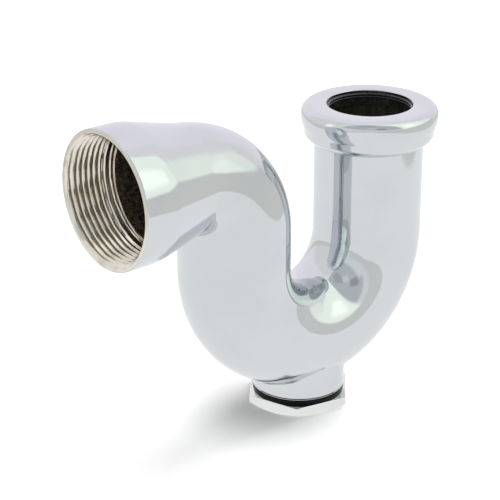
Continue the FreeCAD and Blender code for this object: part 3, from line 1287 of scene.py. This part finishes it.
@dataclass(frozen=True)
class Panel:
    """A soft-edged area of the light tent, as metal mirrors it.

    Azimuth is measured from +X towards +Y; all angles are in degrees.
    """

    name: str
    azimuth: float
    half_width: float
    low: float
    high: float
    colour: Colour
    soft: float = 4.0

    def cover(self, shader: Shader, level: Field, height: Field) -> Field:
        """How far a direction lies in the panel, from 0 to 1 across its soft edge.

        Args:
            shader: The world's shader.
            level: The direction's level part, 1 long.
            height: The direction's height.

        Returns:
            The panel's share of the colour there.
        """
        soft, wide = self.soft, self.half_width
        facing = (cosine(self.azimuth), sine(self.azimuth), 0.0)
        turned = shader.vector("DOT_PRODUCT", level, facing, output="Value")
        turned.socket.node.label = self.name
        near = turned.ramp(cosine(wide + soft), cosine(max(wide - soft, 0.0)))
        rising = height.ramp(sine(self.low - soft), sine(self.low + soft))
        falling = height.ramp(sine(self.high - soft), sine(min(self.high + soft, 90.0)), 1.0, 0.0)
        return near * rising * falling


@dataclass
class Studio:
    """White light tent: the camera, the tent's inside, the floor and a lamp."""

    tent: Colour = (1.00, 0.955, 1.03)
    plain: float = 0.31
    panels: tuple[Panel, ...] = (
        Panel("side wall", 140.0, 33.0, -40.0, 80.0, (0.90, 0.88, 0.87), 6.0),
        Panel("side seam", 156.0, 5.0, 3.0, 34.0, (1.20, 1.25, 1.16), 4.0),
        Panel("pole", -7.0, 12.0, -40.0, 90.0, (0.94, 0.92, 0.92), 6.0),
        Panel("open front", -129.0, 53.0, -40.0, 90.0, (0.60, 0.63, 0.65), 4.0),
        Panel("front sill", -150.0, 34.0, -40.0, 27.0, (0.84, 0.87, 0.88), 5.0),
        Panel("front edge", -100.0, 25.0, -40.0, 19.0, (0.84, 0.86, 0.87), 3.0),
        Panel("front flap", -127.0, 9.0, 43.0, 56.0, (0.74, 0.77, 0.78), 3.0),
        Panel("front top", -140.0, 26.0, 57.0, 74.0, (0.48, 0.51, 0.52), 3.0),
        Panel("dark opening", -112.0, 8.0, 27.0, 42.0, (0.39, 0.42, 0.42), 3.5),
        Panel("lit side", -50.0, 25.0, -40.0, 90.0, (1.15, 1.23, 1.11), 3.0),
        Panel("lit middle", -57.0, 9.0, 20.0, 46.0, (1.40, 1.48, 1.34), 6.0),
        Panel("lit edge", -21.0, 8.0, -40.0, 33.0, (1.07, 1.12, 1.02), 5.0),
        Panel("skirting", -84.0, 78.0, -60.0, 10.0, (0.775, 0.765, 0.745), 2.5),
    )
    # Painted glow on the floor for camera rays: low near the plug, which paints shade round its
    # foot, high farther out, which paints the far shadow out.
    glow_near: float = 0.08
    glow_far: float = 0.62
    glow_start: float = 2.0 * MM
    glow_end: float = 46.0 * MM
    white_start: float = 130.0 * MM
    white_end: float = 420.0 * MM
    glow_middle: Triple = (-14.0 * MM, 2.0 * MM, 0.0)
    paper: float = 0.80
    sheet: Colour = (0.99, 0.985, 0.98)
    table: Colour = (0.785, 0.77, 0.74)
    sheet_half_width: float = 296.0 * MM
    sheet_soft: float = 12.0 * MM
    floor_size: float = 4.0
    camera_azimuth: float = -39.83
    camera_elevation: float = 22.87
    camera_distance: float = 645.99 * MM
    focal_length_px: float = 1710.1
    picture_px: float = 500.0
    sensor_width: float = 36.0
    clip: Span = (0.01, 20.0)
    aim: Triple = (-6.7 * MM, 0.0, 60.5 * MM)
    aim_right: float = -13.664 * MM
    aim_up: float = 2.646 * MM
    lamp_place: Triple = (0.817, 0.174, 0.996)
    lamp_size: float = 1.0
    lamp_watts: float = 17.0

    def camera(self) -> None:
        """Places the camera at the photograph's angle."""
        across, along = cosine(self.camera_azimuth), sine(self.camera_azimuth)
        level, rise = cosine(self.camera_elevation), sine(self.camera_elevation)
        back = Vector((along * level, -across * level, rise))
        right = Vector((across, along, 0))
        up = back.cross(right)
        data = bpy.data.cameras.new("camera")
        data.sensor_width = self.sensor_width
        data.lens = self.focal_length_px / self.picture_px * data.sensor_width
        data.clip_start, data.clip_end = self.clip
        camera = bpy.data.objects.new("camera", data)
        middle = Vector(self.aim) + right * self.aim_right + up * self.aim_up
        seat = Matrix((right, up, back)).transposed().to_4x4()
        camera.matrix_world = Matrix.Translation(middle + back * self.camera_distance) @ seat
        bpy.context.scene.collection.objects.link(camera)
        bpy.context.scene.camera = camera

    def world(self) -> None:
        """Lights the scene with the tent's white inside, and shows white behind the object."""
        world = bpy.data.worlds.new("tent")
        world.use_nodes = True
        bpy.context.scene.world = world
        shader = Shader(world.node_tree, "ShaderNodeOutputWorld")
        way = shader.node("ShaderNodeTexCoord", output="Generated")
        level = shader.vector("NORMALIZE", shader.vector("MULTIPLY", way, (1.0, 1.0, 0.0)))
        height = shader.node("ShaderNodeSeparateXYZ", inputs={0: way}, output="Z")
        colour: Tone = self.tent
        for panel in self.panels:
            colour = shader.mix(panel.cover(shader, level, height), colour, panel.colour)
        mirrored = shader.mix(shader.ray("Glossy"), (self.plain,) * 3, colour)
        seen = shader.mix(shader.ray("Camera"), mirrored, WHITE)
        shader.finish(shader.node("ShaderNodeBackground", inputs={"Color": seen, "Strength": 1.0}))

    def _floor_finish(self) -> bpy.types.Material:
        """Makes the floor's material.

        The camera sees lit paper with a painted glow added: weak near the plug, where it leaves
        painted shade round the foot, stronger away from it, where it paints the far shadow out, and
        plain white far off.
        mirrors a strip of white sheet on a table. Any other ray meets the paper alone.

        Returns:
            The material.
        """
        made, shader, place = Shader.material("white_floor")
        aside = (cosine(self.camera_azimuth), sine(self.camera_azimuth), 0.0)
        across = shader.vector("DOT_PRODUCT", place, aside, output="Value")
        half, soft = self.sheet_half_width, self.sheet_soft
        sheet = across.size().ramp(half - soft, half + soft, 1.0, 0.0)
        apart = shader.vector("DISTANCE", place, self.glow_middle, output="Value")
        shine = apart.ramp(self.glow_start, self.glow_end)
        paper = shader.node("ShaderNodeBsdfDiffuse", inputs={"Color": (self.paper,) * 3})
        # The painted glow's tone: dark round the plug as painted shade, bright farther out as
        # painted light.
        lit = shader.mix(shine, (self.glow_near,) * 3, (self.glow_far,) * 3)
        lit = shader.mix(apart.ramp(self.white_start, self.white_end), lit, WHITE)
        glow = shader.node("ShaderNodeEmission", inputs={"Color": lit, "Strength": 1.0})
        dark = shader.node("ShaderNodeEmission", inputs={"Strength": 0.0})
        looked_at = shader.ray("Camera").largest(shader.ray("Transmission"))
        lift = shader.node("ShaderNodeMixShader", inputs={0: looked_at, 1: dark, 2: glow})
        seen = shader.node("ShaderNodeAddShader", inputs={0: paper, 1: lift})
        tone = shader.mix(sheet, self.table, self.sheet)
        mirrored = shader.node("ShaderNodeEmission", inputs={"Color": tone, "Strength": 1.0})
        inputs = {0: shader.ray("Glossy"), 1: seen, 2: mirrored}
        shader.finish(shader.node("ShaderNodeMixShader", inputs=inputs))
        return made

    def floor(self, body: bpy.types.Object) -> None:
        """Lays the white floor under the plug's foot; it stays there when the plug unscrews.

        Args:
            body: The body that the floor keeps level with.
        """
        mesh = bmesh.new()
        bmesh.ops.create_grid(mesh, x_segments=1, y_segments=1, size=self.floor_size)
        data = bpy.data.meshes.new("floor")
        mesh.to_mesh(data)
        mesh.free()
        data.materials.append(self._floor_finish())
        floor = bpy.data.objects.new("floor", data)
        bpy.context.scene.collection.objects.link(floor)
        floor.parent = body

    def lamp(self) -> None:
        """Hangs a soft square lamp that points at the object and isn't mirrored."""
        data = bpy.data.lights.new("key", "AREA")
        data.shape, data.size, data.energy = "SQUARE", self.lamp_size, self.lamp_watts
        lamp = bpy.data.objects.new("key", data)
        lamp.location = self.lamp_place
        lamp.rotation_mode = "QUATERNION"
        way = Vector(self.aim) - lamp.location
        lamp.rotation_quaternion = way.to_track_quat("-Z", "Y")
        lamp.visible_glossy = False
        bpy.context.scene.collection.objects.link(lamp)

    def build(self, body: bpy.types.Object) -> None:
        """Sets up the whole studio.

        Args:
            body: The body that the floor keeps level with.
        """
        bpy.context.scene.view_settings.view_transform = "Standard"
        self.camera()
        self.world()
        self.floor(body)
        self.lamp()


def main() -> None:
    """Builds every piece of the trap and the studio round it."""
    logging.basicConfig(level=logging.INFO, format="%(message)s")
    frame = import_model()
    chrome, thread = ChromePlate().make(), MachinedThread().make()
    # The plug's chrome is a brighter copy of the plate: painted light, for the brighter reflections
    # on the hexagon's faces.
    bright = ChromePlate("chrome_painted_brighter", colour=(0.77, 0.79, 0.78), haze=(0.74, 0.76, 0.75))
    # The washer's rubber is black and is painted darker than the seal's: painted shade in the gap
    # between the boss and the hexagon.
    black = BlackRubber(
        "washer_rubber", colour=(0.004,) * 3, dusty=(0.008,) * 3,
        gloss=0.12, dulled=0.25, specular=0.12,
    )
    Casting().build([chrome, thread, CastBore().make(), StainedBore().make()])
    LipSeal().build(BlackRubber().make())
    Plug().build(bright.make(), thread)
    Washer().build(black.make())
    Studio().build(frame["bodies"]["washer"])


if __name__ == "__main__":
    main()
